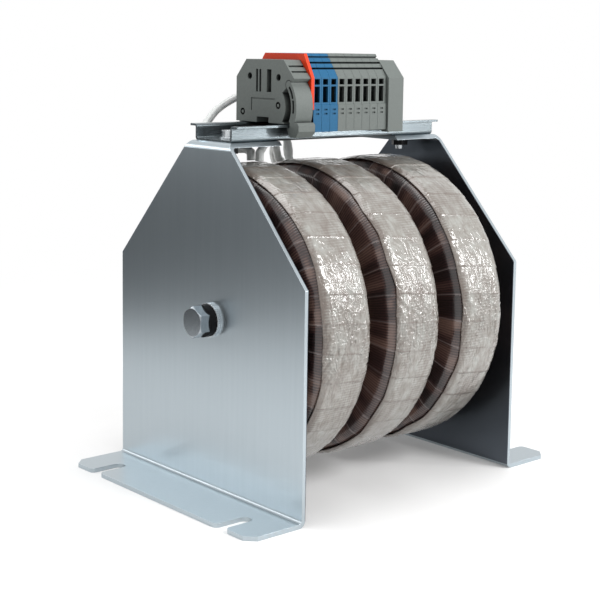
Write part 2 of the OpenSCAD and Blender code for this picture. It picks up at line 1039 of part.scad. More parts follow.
module clamp_body_outline(skirt) {
    difference() {
        union() {
            clamp_outer_outline();
            clamp_hook(skirt);
        }
        translate(arm_centre)
            arc_band(arm_inner - arm_slot, 2 * arm_outer, arm_top_angle, arm_low_angle);
        translate(arm_root)
            circle(arm_root_r + seat);
        arm_clear();
        translate([notch_middle, clamp_lift])
            square([notch_size[0], 2 * notch_size[1]], center = true);
        for (hole = clamp_holes) {
            translate(hole)
                circle(d = clamp_hole_d);
        }
        for (slot = clamp_slots) {
            translate([slot[0] - slot[1] / 2, clamp_slot_span[0]])
                square([slot[1], clamp_slot_span[1] - clamp_slot_span[0]]);
        }
    }
}

// Room beside the arm's root, so that the arm can swing outward
module arm_clear() {
    far = 2 * arm_outer;
    translate(arm_root)
        polygon([
            [0, 0],
            far * [cos(arm_top_angle + arm_clear_angle), sin(arm_top_angle + arm_clear_angle)],
            far * [cos(arm_low_angle), sin(arm_low_angle)]
        ]);
}

module clamp_marks() {
    translate([-frame_depth, frame_corner[0] - frame_size[0], frame_corner[1] - frame_line])
        cube([2 * frame_depth, frame_size[0], frame_line]);
    translate([-frame_depth, frame_corner[0] - frame_line, frame_corner[1] - frame_size[1]])
        cube([2 * frame_depth, frame_line, frame_size[1]]);
    for (place = round_marks) {
        translate([0, place[0], place[1]])
            ring_x(-round_mark_depth, 2 * round_mark_depth, round_mark_d[0], round_mark_d[1]);
    }
}

module clamp_body(skirt) {
    color(grey)
        difference() {
            along_x(0, clamp_t - mould_gap)
                clamp_body_outline(skirt);
            clamp_marks();
            for (share = [0.35, 0.65]) {
                top_groove(share);
            }
        }
}

// Marker grooves along the edge of the clamp's top
module top_groove(share) {
    from = [-clamp_top_near, clamp_rise];
    run = [-clamp_near, clamp_shoulder] - from;
    translate([wall, 0, 0])
        along_x(0, clamp_t)
            translate(from + share * run)
                rotate(atan2(run[1], run[0]))
                    square([groove_w, 2 * groove_depth], center = true);
}

module clamp_latch() {
    color(grey)
        along_x(0, clamp_t - mould_gap)
            difference() {
                union() {
                    translate(arm_centre)
                        arc_band(arm_inner, arm_outer, arm_top_angle, arm_end_angle);
                    translate(arm_root)
                        circle(arm_root_r);
                    latch_foot();
                }
                translate(arm_centre)
                    for (span = arm_slit_angles) {
                        arc_band(arm_slit[0], arm_slit[1], span[0], span[1]);
                    }
            }
}

module latch_foot() {
    polygon([
        [foot_in, 4 * foot_top],
        [foot_out + foot_nose / 2, 4 * foot_top],
        [foot_out, 0],
        [foot_out, foot_bottom / 2],
        [foot_out + foot_nose, foot_bottom],
        [foot_in, foot_bottom],
        [foot_in + foot_nose, -rail_t - hook_gap - hook_nose],
        [foot_in + foot_nose, -rail_t - hook_gap],
        [foot_in, -rail_t - hook_gap]
    ]);
}

front_clamp_x = -block_start - separator_t - clamp_t;
rear_clamp_x = block_x(block_count) + cover_t;

module at_front_clamp() {
    on_rail()
        translate([front_clamp_x, 0, 0])
            children();
}

module at_rear_clamp() {
    on_rail()
        translate([rear_clamp_x + clamp_t, 0, 0])
            rotate([0, 0, 180])
                children();
}

// Leads: hand-set steps off the straight line from the coil to the terminal block
lead_height = (tall_window[0] + tall_window[1]) / 2;
collar_start = block_half + seat;
collar_end = plate_offset + collar_start + collar_l;
lead_steps = [
    [
        [-1, 3, -1.5], [-4.5, 8.5, -4.5], [-11, 12.5, -5.5], [-15.5, 15, -3],
        [-15.5, 15, -1.5], [-13, 14.5, -0.5], [-10, 13.5, 0.5], [-5.5, 12.5, 1],
        [0, 10.5, 1.5], [2, 7, 1]
    ],
    [
        [4.5, 2, -1], [6, 4.5, -3.5], [5, 7.5, -7], [3.5, 11, -8],
        [3, 12.5, -5], [3, 12, -1], [2.5, 9, 1]
    ],
    [
        [-1, -1, -4], [-1, -0.5, -2], [-1.5, 2, 0.5], [-2, 4.5, 2.5],
        [-2, 4, 3.5]
    ],
    [
        [2, 0, -3], [2.5, 1, -1.5], [1.5, 4.5, 0.5], [-0.5, 6.5, 2.5],
        [-1, 5, 3]
    ],
    [
        [1.5, 3.5, -3], [-3.5, 8.5, -2.5], [-8, 8.5, -3], [-10.5, 5.5, -3.5],
        [-8.5, 3, -2], [-7.5, 1.5, 2], [-5, 1, 4.5]
    ],
    [
        [1, 1, -3], [-3, 5.5, -2.5], [-6, 5.5, -3], [-7.5, 3, -3.5],
        [-6.5, 1, -2.5], [-6.5, 1, 1.5], [-4.5, 1.5, 4]
    ]
];
lead_count = len(lead_steps);

function lead_exit(i) =
    let (coil = floor(i / 2))
    let (a = lead_exit_angles[coil] - (i % 2) * lead_angle)
    let (r = path_outer + lead_stub)
    [for (step = [0, 1])
        round_coil(r + step * lead_d, coil_x(coil) + lead_x, a) + [0, 0, bolt_height]];

function lead_entry(i) =
    let (x = block_middle(i))
    let (z = rail_top + lead_height)
    [[x, collar_end + lead_d, z], [x, collar_end, z]];

function lead_rings(i) =
    let (exit = lead_exit(i))
    let (entry = lead_entry(i))
    let (last = len(lead_steps[i]) + 1)
    let (way = entry[0] - exit[1])
    let (bends = [for (k = [1 : last - 1]) exit[1] + way * k / last + lead_steps[i][k - 1]])
    concat([exit[0]], smooth(concat([exit[1]], bends, [entry[0]])), [entry[1]]);

module lead(i) {
    color(lead_white)
        tube(lead_rings(i), lead_d / 2, 8);
}

module lead_ferrules() {
    color(steel)
        on_rail()
            for (i = [0 : lead_count - 1]) {
                translate([block_middle(i), collar_start, lead_height])
                    rotate([-90, 0, 0])
                        union() {
                            cylinder(h = collar_l, d = collar_d);
                            translate([0, 0, -pin_l])
                                cylinder(h = pin_l + over, d = pin_d);
                        }
            }
}

front_end_plate();
back_end_plate();
through_bolt();
bolt_sleeve();
black_washer();
flat_washers();
spring_washer();
bolt_nut();
core(0);  // core_1
core(1);  // core_2
core(2);  // core_3
winding(0);  // winding_1
winding(1);  // winding_2
winding(2);  // winding_3
turns(0);  // turns_1
turns(1);  // turns_2
turns(2);  // turns_3
rim_tape(0);  // rim_tape_1
rim_tape(1);  // rim_tape_2
rim_tape(2);  // rim_tape_3
centre_bush(0);  // centre_bush_1
centre_bush(1);  // centre_bush_2
centre_bush(2);  // centre_bush_3
front_pad();
coil_spacer(0);  // coil_spacer_1
coil_spacer(1);  // coil_spacer_2
rear_spacer();
din_rail();
rail_screws();
rail_washers();
rail_nuts();
terminal_block(0, blue);  // blue_terminal_1
terminal_block(1, blue);  // blue_terminal_2
terminal_block(2, blue);  // blue_terminal_3
terminal_block(3, grey);  // grey_terminal_1
terminal_block(4, grey);  // grey_terminal_2
terminal_block(5, grey);  // grey_terminal_3
terminal_block(6, grey);  // grey_terminal_4
terminal_block(7, grey);  // grey_terminal_5
terminal_block(8, grey);  // grey_terminal_6
terminal_current_bars();
terminal_clamp_springs();
separator_plate();
terminal_end_plate();
at_front_clamp() clamp_body(false);  // front_clamp_body
at_front_clamp() clamp_latch();  // front_clamp_latch
at_rear_clamp() clamp_body(true);  // rear_clamp_body
at_rear_clamp() clamp_latch();  // rear_clamp_latch
lead(0);  // lead_1
lead(1);  // lead_2
lead(2);  // lead_3
lead(3);  // lead_4
lead(4);  // lead_5
lead(5);  // lead_6
lead_ferrules();
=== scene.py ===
import math

import bpy
import numpy as np
from mathutils import Matrix, Vector


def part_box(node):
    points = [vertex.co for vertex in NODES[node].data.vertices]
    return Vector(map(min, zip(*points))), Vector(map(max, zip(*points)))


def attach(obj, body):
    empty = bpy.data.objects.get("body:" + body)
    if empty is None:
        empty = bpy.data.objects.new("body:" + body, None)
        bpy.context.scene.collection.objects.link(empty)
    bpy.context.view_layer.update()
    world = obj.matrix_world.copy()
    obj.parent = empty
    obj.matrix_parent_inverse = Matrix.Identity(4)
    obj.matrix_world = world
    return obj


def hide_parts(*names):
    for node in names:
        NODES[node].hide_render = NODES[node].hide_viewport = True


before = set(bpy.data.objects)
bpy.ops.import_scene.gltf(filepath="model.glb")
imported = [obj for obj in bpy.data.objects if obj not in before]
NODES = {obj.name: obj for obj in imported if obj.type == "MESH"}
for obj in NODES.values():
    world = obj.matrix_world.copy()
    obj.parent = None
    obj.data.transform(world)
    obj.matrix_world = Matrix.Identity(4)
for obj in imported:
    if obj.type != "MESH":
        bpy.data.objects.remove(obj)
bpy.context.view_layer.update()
MM = 0.001
FULL_TURN = 2 * np.pi
ROOT = "frame_and_coils"

# Camera fitted to the corners of the plates in the photograph, in metres and degrees
CAMERA_AT = Vector((-0.44608, -0.49444, 0.20791))
CAMERA_YAW, CAMERA_PITCH, CAMERA_ROLL = 48.88, -6.92, 0.81
CAMERA_LENS, CAMERA_SHIFT_Y = 82.24, -0.15
CAMERA_CLIP_NEAR, CAMERA_CLIP_FAR = 0.01, 50


def make_camera():
    yaw, pitch, roll = (math.radians(a) for a in (CAMERA_YAW, CAMERA_PITCH, CAMERA_ROLL))
    forward = Vector((
        math.cos(pitch) * math.cos(yaw),
        math.cos(pitch) * math.sin(yaw),
        math.sin(pitch),
    ))
    level = Vector((math.sin(yaw), -math.cos(yaw), 0))
    upright = level.cross(forward)
    right = level * math.cos(roll) + upright * math.sin(roll)
    up = upright * math.cos(roll) - level * math.sin(roll)
    data = bpy.data.cameras.new("camera")
    data.lens, data.shift_y = CAMERA_LENS, CAMERA_SHIFT_Y
    data.clip_start, data.clip_end = CAMERA_CLIP_NEAR, CAMERA_CLIP_FAR
    camera = bpy.data.objects.new("camera", data)
    turn = Matrix((right, up, -forward)).transposed().to_4x4()
    camera.matrix_world = Matrix.Translation(CAMERA_AT) @ turn
    bpy.context.scene.collection.objects.link(camera)
    bpy.context.scene.camera = camera


make_camera()


# Mesh helpers
def add_mesh(name, points, faces, smooth=True):
    mesh = bpy.data.meshes.new(name)
    mesh.from_pydata([tuple(p) for p in points], [], [tuple(f) for f in faces])
    mesh.validate()
    mesh.update()
    mesh.polygons.foreach_set("use_smooth", [smooth] * len(mesh.polygons))
    obj = bpy.data.objects.new(name, mesh)
    bpy.context.scene.collection.objects.link(obj)
    return obj


def grid_faces(rows, columns):
    """Quads over a grid of points that closes on itself both ways, row by row."""
    i, j = np.meshgrid(np.arange(rows), np.arange(columns), indexing="ij")
    a = i * columns + j
    b = i * columns + (j + 1) % columns
    c = (i + 1) % rows * columns + (j + 1) % columns
    d = (i + 1) % rows * columns + j
    return np.stack([a, b, c, d], axis=-1).reshape(-1, 4)


def add_value(obj, name, values):
    layer = obj.data.attributes.new(name, "FLOAT", "POINT")
    layer.data.foreach_set("value", np.asarray(values, np.float32).ravel())


def noise(u, v, cells, seed):
    """Smooth random values from 0 to 1; u runs from 0 to 1 and closes on itself."""
    cells_u, cells_v = cells
    grid = np.random.default_rng(seed).random((cells_u, cells_v + 2))
    x, y = (u % 1) * cells_u, np.clip(v, 0, 1) * cells_v
    i, j = np.floor(x).astype(int), np.floor(y).astype(int)
    fx, fy = x - i, y - j
    fx, fy = fx * fx * (3 - 2 * fx), fy * fy * (3 - 2 * fy)
    i, k = i % cells_u, (i + 1) % cells_u
    low = grid[i, j] * (1 - fx) + grid[k, j] * fx
    high = grid[i, j + 1] * (1 - fx) + grid[k, j + 1] * fx
    return low * (1 - fy) + high * fy


def ridges(values):
    """1 where a noise crosses its middle, falling to 0 at its extremes."""
    return 1 - np.abs(2 * values - 1)


# Shader helpers
def new_material(name):
    material = bpy.data.materials.new(name)
    material.use_nodes = True
    tree = material.node_tree
    return material, tree, tree.nodes["Principled BSDF"]


def node(tree, kind, **settings):
    """A new shader node; each setting is one of its properties or else one of its sockets."""
    made = tree.nodes.new(kind)
    for key, value in settings.items():
        if hasattr(made, key):
            setattr(made, key, value)
        else:
            made.inputs[key.replace("_", " ")].default_value = value
    return made


def set_sockets(shader, **values):
    for key, value in values.items():
        shader.inputs[key.replace("_", " ")].default_value = value


def object_place(tree):
    return node(tree, "ShaderNodeTexCoord").outputs["Object"]


def attribute(tree, name):
    return node(tree, "ShaderNodeAttribute", attribute_name=name).outputs["Fac"]


def noise_texture(tree, place, **settings):
    made = node(tree, "ShaderNodeTexNoise", **settings)
    tree.links.new(place, made.inputs["Vector"])
    return made.outputs["Fac"]


def stretched(tree, place, scale):
    mapping = node(tree, "ShaderNodeMapping")
    mapping.inputs["Scale"].default_value = scale
    tree.links.new(place, mapping.inputs["Vector"])
    return mapping.outputs["Vector"]


def ramp(tree, factor, stops):
    made = tree.nodes.new("ShaderNodeValToRGB")
    elements = made.color_ramp.elements
    while len(elements) < len(stops):
        elements.new(0.5)
    for element, (place, colour) in zip(elements, stops):
        element.position = place
        element.color = (*colour, 1)
    tree.links.new(factor, made.inputs["Fac"])
    return made.outputs["Color"]


def arithmetic(tree, operation, first, second=None):
    """A sum on sockets; a plain number is set on its socket, and a missing one stays unset."""
    made = node(tree, "ShaderNodeMath", operation=operation)
    for socket, value in zip(made.inputs, (first, second)):
        if isinstance(value, (int, float)):
            socket.default_value = value
        elif value is not None:
            tree.links.new(value, socket)
    return made.outputs["Value"]


def tinted(tree, base, tint, share):
    """The base colour turned to a fixed tint by a share from 0 to 1."""
    mix = node(tree, "ShaderNodeMix", data_type="RGBA")
    tree.links.new(share, mix.inputs["Factor"])
    tree.links.new(base, mix.inputs["A"])
    mix.inputs["B"].default_value = (*tint, 1)
    return mix.outputs["Result"]


def bump(tree, height, distance, under=None, **settings):
    """Relief of a height in millimetres, on top of another relief where one is given."""
    relief = node(tree, "ShaderNodeBump", Distance=distance * MM, **settings)
    tree.links.new(height, relief.inputs["Height"])
    if under is not None:
        tree.links.new(under, relief.inputs["Normal"])
    return relief


# Finishes of the CAD pieces
# Painted shade: ambient occlusion turns colours nearly black inside openings and grooves
RECESS_SHADE_STOPS = [(0.12, (0.02, 0.02, 0.03)), (0.62, (1, 1, 1))]
RECESS_SHADE_SAMPLES, BEVEL_SAMPLES = 8, 4
GRAIN_DETAIL, GRAIN_ROUGHNESS, GRAIN_RELIEF = 6.0, 0.6, 0.6
GRAIN_DARK_AT, GRAIN_LIGHT_AT = 0.3, 0.7


def with_painted_recess_shade(tree, colour, depth):
    """The colour with painted shade: nearly black inside openings and grooves, darkened by
    ambient occlusion up to a depth in millimetres.
    """
    cover = node(tree, "ShaderNodeAmbientOcclusion", samples=RECESS_SHADE_SAMPLES,
                 Distance=depth * MM)
    painted_shade = ramp(tree, cover.outputs["AO"], RECESS_SHADE_STOPS)
    mix = node(tree, "ShaderNodeMix", data_type="RGBA", blend_type="MULTIPLY")
    mix.inputs["Factor"].default_value = 1.0
    tree.links.new(colour, mix.inputs["A"])
    tree.links.new(painted_shade, mix.inputs["B"])
    return mix.outputs["Result"]


def surface(name, dark, light, scale, roughness, metallic=0.0, stretch=(1, 1, 1),
            relief=0.02, edge=0.3, recess_shade=0.0, specular=0.5):
    """A finish whose colour, roughness and relief follow one noise of the scale per metre.

    The relief, the rounding of the edges and the depth of the painted recess shade are in
    millimetres.
    """
    material, tree, shader = new_material(name)
    grain = noise_texture(tree, stretched(tree, object_place(tree), stretch), Scale=scale,
                          Detail=GRAIN_DETAIL, Roughness=GRAIN_ROUGHNESS)
    colour = ramp(tree, grain, [(GRAIN_DARK_AT, dark), (GRAIN_LIGHT_AT, light)])
    tree.links.new(with_painted_recess_shade(tree, colour, recess_shade) if recess_shade else colour,
                   shader.inputs["Base Color"])
    gloss = node(tree, "ShaderNodeMapRange", To_Min=roughness[0], To_Max=roughness[1])
    tree.links.new(grain, gloss.inputs["Value"])
    tree.links.new(gloss.outputs["Result"], shader.inputs["Roughness"])
    rounding = node(tree, "ShaderNodeBevel", samples=BEVEL_SAMPLES, Radius=edge * MM)
    raised = bump(tree, grain, relief, rounding.outputs["Normal"], Strength=GRAIN_RELIEF)
    tree.links.new(raised.outputs["Normal"], shader.inputs["Normal"])
    set_sockets(shader, Metallic=metallic, Specular_IOR_Level=specular)
    return material


ZINC_SHEET = surface(
    "zinc_sheet", dark=(0.425, 0.482, 0.516), light=(0.445, 0.502, 0.536), scale=500,
    roughness=(0.28, 0.31), metallic=0.95, stretch=(1, 1, 0.04), relief=0.0006)
ZINC_RAIL = surface(
    "zinc_rail", dark=(0.155, 0.182, 0.195), light=(0.20, 0.23, 0.245), scale=400,
    roughness=(0.24, 0.30), metallic=0.95, stretch=(0.05, 1, 1), relief=0.001, edge=0.15)
ZINC_PARTS = surface(
    "zinc_fasteners", dark=(0.50, 0.53, 0.55), light=(0.66, 0.69, 0.71), scale=1500,
    roughness=(0.20, 0.35), metallic=1.0)
BOLT_STEEL = surface(
    "bolt_steel", dark=(0.27, 0.30, 0.325), light=(0.38, 0.415, 0.44), scale=900,
    roughness=(0.14, 0.22), metallic=0.95, relief=0.004, edge=0.4)
BLACK_STEEL = surface(
    "black_steel", dark=(0.006, 0.006, 0.007), light=(0.014, 0.014, 0.016), scale=1500,
    roughness=(0.4, 0.55), metallic=0.3, specular=0.2)
BLACK_PLASTIC = surface(
    "black_plastic", dark=(0.004, 0.004, 0.005), light=(0.010, 0.010, 0.011), scale=900,
    roughness=(0.5, 0.65), specular=0.12)
BOARD = surface(
    "insulating_board", dark=(0.10, 0.055, 0.03), light=(0.18, 0.11, 0.07), scale=500,
    roughness=(0.6, 0.8), stretch=(0.3, 1, 1), relief=0.05)
CORE_METAL = surface(
    "core_metal", dark=(0.05, 0.05, 0.055), light=(0.10, 0.10, 0.11), scale=600,
    roughness=(0.4, 0.6), metallic=0.6)
# The plastics carry painted shade in their openings and grooves, up to the depth given
GREY_PLASTIC = surface(
    "grey_plastic", dark=(0.106, 0.120, 0.113), light=(0.130, 0.146, 0.138), scale=1400,
    roughness=(0.45, 0.58), relief=0.015, recess_shade=7, specular=0.3)
BLUE_PLASTIC = surface(
    "blue_plastic", dark=(0.006, 0.082, 0.180), light=(0.009, 0.100, 0.212), scale=1400,
    roughness=(0.45, 0.58), relief=0.015, recess_shade=7, specular=0.25)
ORANGE_PLASTIC = surface(
    "orange_plastic", dark=(0.58, 0.034, 0.005), light=(0.66, 0.048, 0.008), scale=1400,
    roughness=(0.45, 0.58), relief=0.015, recess_shade=4, specular=0.25)
LEAD_SLEEVING = surface(
    "lead_sleeving", dark=(0.60, 0.62, 0.61), light=(0.74, 0.76, 0.75), scale=900,
    roughness=(0.4, 0.55), relief=0.03, edge=1.2)
TINNED = surface(
    "tinned_copper", dark=(0.55, 0.54, 0.52), light=(0.70, 0.69, 0.67), scale=1200,
    roughness=(0.25, 0.4), metallic=1.0)
BED = surface(
    "winding", dark=(0.03, 0.015, 0.013), light=(0.07, 0.035, 0.03), scale=800,
    roughness=(0.35, 0.5))

# The end plates get painted shade on the faces that look at the coils, below the top flange
FACE_MARGIN, FLANGE_MARGIN = 0.3 * MM, 3 * MM
INNER_FACE_X = FACE_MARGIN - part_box("front_pad")[0][0]
TOP_FLANGE_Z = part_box("front_end_plate")[1][2] - FLANGE_MARGIN
INNER_SHADE = (0.10, 0.115, 0.135)


# Painted shade: the plates' inner faces below the top flange are tinted towards INNER_SHADE
def paint_inner_face_shade(material):
    tree = material.node_tree
    colour = tree.nodes["Principled BSDF"].inputs["Base Color"]
    outside = colour.links[0].from_socket
    parts = node(tree, "ShaderNodeSeparateXYZ")
    tree.links.new(object_place(tree), parts.inputs["Vector"])
    from_middle = arithmetic(tree, "ABSOLUTE", parts.outputs["X"])
    inside = arithmetic(tree, "LESS_THAN", from_middle, INNER_FACE_X)
    low = arithmetic(tree, "LESS_THAN", parts.outputs["Z"], TOP_FLANGE_Z)
    shaded_part = arithmetic(tree, "MULTIPLY", inside, low)
    tree.links.new(tinted(tree, outside, INNER_SHADE, shaded_part), colour)


def numbered(name, count):
    return [f"{name}_{i}" for i in range(1, count + 1)]


MATERIAL_OF = {
    ZINC_SHEET: ["front_end_plate", "back_end_plate"],
    ZINC_RAIL: ["din_rail"],
    ZINC_PARTS: ["flat_washers", "bolt_nut", "rail_screws", "rail_washers"],
    BOLT_STEEL: ["through_bolt", "spring_washer", "terminal_clamp_springs"],
    BLACK_STEEL: ["rail_nuts"],
    BLACK_PLASTIC: ["black_washer", "bolt_sleeve", *numbered("centre_bush", 3)],
    BOARD: ["front_pad", *numbered("coil_spacer", 2), "rear_spacer"],
    CORE_METAL: numbered("core", 3),
    BED: numbered("winding", 3),
    GREY_PLASTIC: ["terminal_end_plate", "front_clamp_body", "front_clamp_latch",
                   "rear_clamp_body", "rear_clamp_latch", *numbered("grey_terminal", 6)],
    BLUE_PLASTIC: numbered("blue_terminal", 3),
    ORANGE_PLASTIC: ["separator_plate"],
    TINNED: ["terminal_current_bars", "lead_ferrules"],
    LEAD_SLEEVING: numbered("lead", 6),
}

paint_inner_face_shade(ZINC_SHEET)
for finish, node_names in MATERIAL_OF.items():
    for node_name in node_names:
        NODES[node_name].data.materials.clear()
        NODES[node_name].data.materials.append(finish)

# Coils, placed on the CAD: laps and wires run round each of them at an even pitch
COIL_COUNT = 3
TAPE_LOW, TAPE_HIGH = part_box("rim_tape_1")
COIL_RADIUS = (TAPE_HIGH[2] - TAPE_LOW[2]) / 2
BOLT_Z = (TAPE_HIGH[2] + TAPE_LOW[2]) / 2
WINDING_BOXES = [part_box(name) for name in numbered("winding", COIL_COUNT)]
COIL_X = [(low[0] + high[0]) / 2 for low, high in WINDING_BOXES]
WINDING_HALF = (WINDING_BOXES[0][1][0] - WINDING_BOXES[0][0][0]) / 2
LAPS, WIRES = 34, 338
LAP_SHIFT = 0.35


def turned(radius, x, turn, coil):
    """Points at a radius and place along the bolt, turned round the bolt from straight up."""
    return np.stack([
        COIL_X[coil] + x,
        radius * np.sin(turn),
        BOLT_Z + radius * np.cos(turn),
    ], axis=-1)


def wire_tops(u):
    """1 on top of each wire and 0 between two of them."""
    return 0.5 + 0.5 * np.cos(FULL_TURN * u * WIRES)


# Wound ring under clear film
TURNS_OVER_WINDING, SKIN_UNDER_TAPE, COIL_SECTION = 3.5 * MM, 1.2 * MM, 44 * MM
SKIN_HALF = WINDING_HALF + TURNS_OVER_WINDING
SKIN_OUTER = COIL_RADIUS - SKIN_UNDER_TAPE
SKIN_INNER = COIL_RADIUS - COIL_SECTION
SKIN_CORNER, CORNER_SHARPNESS = 7.6 * MM, 3
SKIN_ROWS, SKIN_COLUMNS = 1700, 96
SKIN_LEAN = 0.12
WIRE_SINK, LAP_SINK, WAVE_SINK = 0.10 * MM, 0.16 * MM, 0.25 * MM
WAVE_CELLS, LAP_EDGE_CELLS = (90, 14), (60, 9)
LAP_SEED, WAVE_SEED, LAP_EDGE_SEED = 30, 40, 50
LAP_EDGE_SHARPNESS, LAP_EDGE_LEAST = 14, 0.25
# Shares of each lap's random tone, of the painted shade between wires, and of the waves
TONE_LAP, TONE_WIRE_SHADE, TONE_WAVE = 0.5, 0.45, 0.9
WIRE_TONES_AND_SHADE = [
    (0.0, (0.0068, 0.0035, 0.0037)),
    (0.45, (0.0374, 0.0161, 0.0148)),
    (1.0, (0.1564, 0.0945, 0.074)),
]
LAP_EDGE_TINT = (0.2856, 0.238, 0.2294)


def skin_section():
    """Points round the wound section as (radius, place along the bolt), with the way out."""
    flat_x = SKIN_HALF - SKIN_CORNER
    flat_r = (SKIN_OUTER - SKIN_INNER) / 2 - SKIN_CORNER
    middle_r = (SKIN_OUTER + SKIN_INNER) / 2
    angles = np.linspace(0, FULL_TURN, SKIN_COLUMNS, endpoint=False)
    out_r, out_x = np.cos(angles), np.sin(angles)
    reach_r = np.clip(out_r * CORNER_SHARPNESS, -1, 1) * flat_r
    reach_x = np.clip(out_x * CORNER_SHARPNESS, -1, 1) * flat_x
    return (middle_r + reach_r + SKIN_CORNER * out_r, reach_x + SKIN_CORNER * out_x,
            out_r, out_x)


def skin_material():
    """Dark wires under clear film; their tone, with painted shade between the wires, and the
    bright lap edges come with the mesh.
    """
    material, tree, shader = new_material("film_over_wires")
    wires = ramp(tree, attribute(tree, "tone_and_shade"), WIRE_TONES_AND_SHADE)
    colour = tinted(tree, wires, LAP_EDGE_TINT, attribute(tree, "edge"))
    tree.links.new(colour, shader.inputs["Base Color"])
    set_sockets(shader, Roughness=0.45, Coat_Weight=0.8, Coat_Roughness=0.12)
    return material


def make_skin(coil, material):
    r, x, out_r, out_x = skin_section()
    turn = np.linspace(0, FULL_TURN, SKIN_ROWS, endpoint=False)
    u, v = np.meshgrid(turn / FULL_TURN, np.arange(SKIN_COLUMNS) / SKIN_COLUMNS,
                       indexing="ij")
    lap = (u * LAPS + LAP_SHIFT * coil + SKIN_LEAN * np.sin(FULL_TURN * v)) % LAPS
    in_lap = lap % 1
    wires = wire_tops(u)
    waves = noise(u, v, WAVE_CELLS, WAVE_SEED + coil)
    sink = WIRE_SINK * (1 - wires) + LAP_SINK * in_lap + WAVE_SINK * waves
    points = turned(r - out_r * sink, x - out_x * sink, turn[:, None], coil)
    obj = add_mesh(f"film_over_winding_{coil + 1}", points.reshape(-1, 3),
                   grid_faces(SKIN_ROWS, SKIN_COLUMNS))
    lap_tones = np.random.default_rng(LAP_SEED + coil).random(LAPS + 1)
    # Wire tops lighter and the grooves between them darker is painted shade; laps and waves add
    # random tone
    tone_and_shade = (TONE_LAP * lap_tones[np.floor(lap).astype(int)] + TONE_WIRE_SHADE * wires
            + TONE_WAVE * (waves - 0.5))
    patchy = noise(u, v, LAP_EDGE_CELLS, LAP_EDGE_SEED + coil)
    edge = np.clip(1 - in_lap * LAP_EDGE_SHARPNESS, 0, 1)
    add_value(obj, "tone_and_shade", np.clip(tone_and_shade, 0, 1))
    add_value(obj, "edge", edge * (LAP_EDGE_LEAST + (1 - LAP_EDGE_LEAST) * patchy))
    obj.data.materials.append(material)
    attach(obj, ROOT)
    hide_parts(f"turns_{coil + 1}")


# White film tape over the rim, crumpled in one band; angles are in degrees
TAPE_BEND, TAPE_T, TAPE_RELIEF = SKIN_CORNER + 1.1 * MM, 0.7 * MM, 0.5 * MM
TAPE_CORNER_R, TAPE_CORNER_X = COIL_RADIUS - TAPE_BEND, SKIN_HALF - SKIN_CORNER
TAPE_ROWS, TAPE_COLUMNS = 1440, 72
FRONT_ANGLE, REAR_ANGLE = 36, 56
FRONT_RAGGED, REAR_RAGGED, REAR_ROLL = 3.5, 3, 60
TAPE_LEAN = 0.25
RAGGED_SEED, TAPE_SEED = 60, 70
CRUMPLE_AT, CRUMPLE_SPREAD, CRUMPLE_SWAY, CRUMPLE_WAVES = 0.745, 0.035, 0.012, 9
SWELL, STREAK, FOLD, LAP_STEP, CRUSH, CRUSH_LEVEL = 0.20, 0.13, 0.10, 0.50, 0.9, 0.25
SWELL_CELLS, STREAK_CELLS, FOLD_CELLS = (46, 5), (150, 26), (240, 9)
CRUSH_CELLS = (330, 22)

# Stains of the tape: how dark each kind is, and its noise
LINE_DARK, FINE_DARK, ARC_DARK, PATCH_DARK = 1.1, 0.55, 0.45, 0.8
LINE_PLACE, LINE_SHARPNESS = 0.02, 14
FINE_GAIN, FINE_LEVEL, PATCH_LEVEL = 2.4, 0.6, 0.55
THIN_SHARE, THIN_LEAST, THIN_MORE = 0.13, 0.5, 0.6
LINE_CELLS, FINE_CELLS, ARC_CELLS = (70, 6), (36, 5), (40, 30)
PATCH_CELLS, THIN_CELLS = (24, 4), (80, 4)

# Finish of the tape: creases are pairs of scale per metre and height in millimetres
CREASES = ((48.0, 5.8), (120.0, 3.1), (330.0, 0.5))
CREASE_STRETCH = (1.7, 1, 1)
CREASE_WIDTH, CREASE_DETAIL, CREASE_BEND = 0.12, 2.0, 0.6
CREASE_CALM, CREASE_MOST = 0.30, 0.74
TAPE_GRAIN, TAPE_GRAIN_DETAIL, TAPE_GRAIN_ROUGHNESS = 220.0, 5.0, 0.55
TAPE_FINE_RELIEF, TAPE_FINE_STRENGTH = 0.05, 0.5
TAPE_TONES = [
    (0.30, (0.160, 0.143, 0.122)),
    (0.50, (0.235, 0.226, 0.205)),
    (0.70, (0.295, 0.300, 0.278)),
]
STAIN_TINT = (0.125, 0.100, 0.084)


def tape_section(shares, front, rear):
    """Radius, place along the bolt and way out over the rim, for shares from edge to edge."""
    arc_front, arc_rear = TAPE_BEND * np.radians(front), TAPE_BEND * np.radians(rear)
    flat = 2 * TAPE_CORNER_X
    way = shares * (arc_front + flat + arc_rear)
    front_turn = np.clip((arc_front - way) / TAPE_BEND, 0, None)
    rear_turn = np.clip((way - arc_front - flat) / TAPE_BEND, 0, None)
    bend = rear_turn - front_turn
    centre = np.clip(way - arc_front, 0, flat) - TAPE_CORNER_X
    out_r, out_x = np.cos(bend), np.sin(bend)
    return TAPE_CORNER_R + TAPE_BEND * out_r, centre + TAPE_BEND * out_x, out_r, out_x


def tape_edges(share, coil):
    """How far round the bend the film's front and rear edges lie, all round the coil."""
    kinks = np.random.default_rng(RAGGED_SEED + coil).normal(0, 1, LAPS)
    ragged = np.interp(share * LAPS, np.arange(LAPS + 1), np.append(kinks, kinks[0]))
    front = FRONT_ANGLE + FRONT_RAGGED * ragged
    rear = REAR_ANGLE - REAR_RAGGED * np.roll(ragged, REAR_ROLL)
    return front[:, None], rear[:, None]


def tape_crumple(u, v):
    """How crumpled the film is, from 0 to 1: most in one band across the rim."""
    sway = CRUMPLE_SWAY * np.sin(CRUMPLE_WAVES * v)
    return np.exp(-((u - CRUMPLE_AT + sway) / CRUMPLE_SPREAD) ** 2)


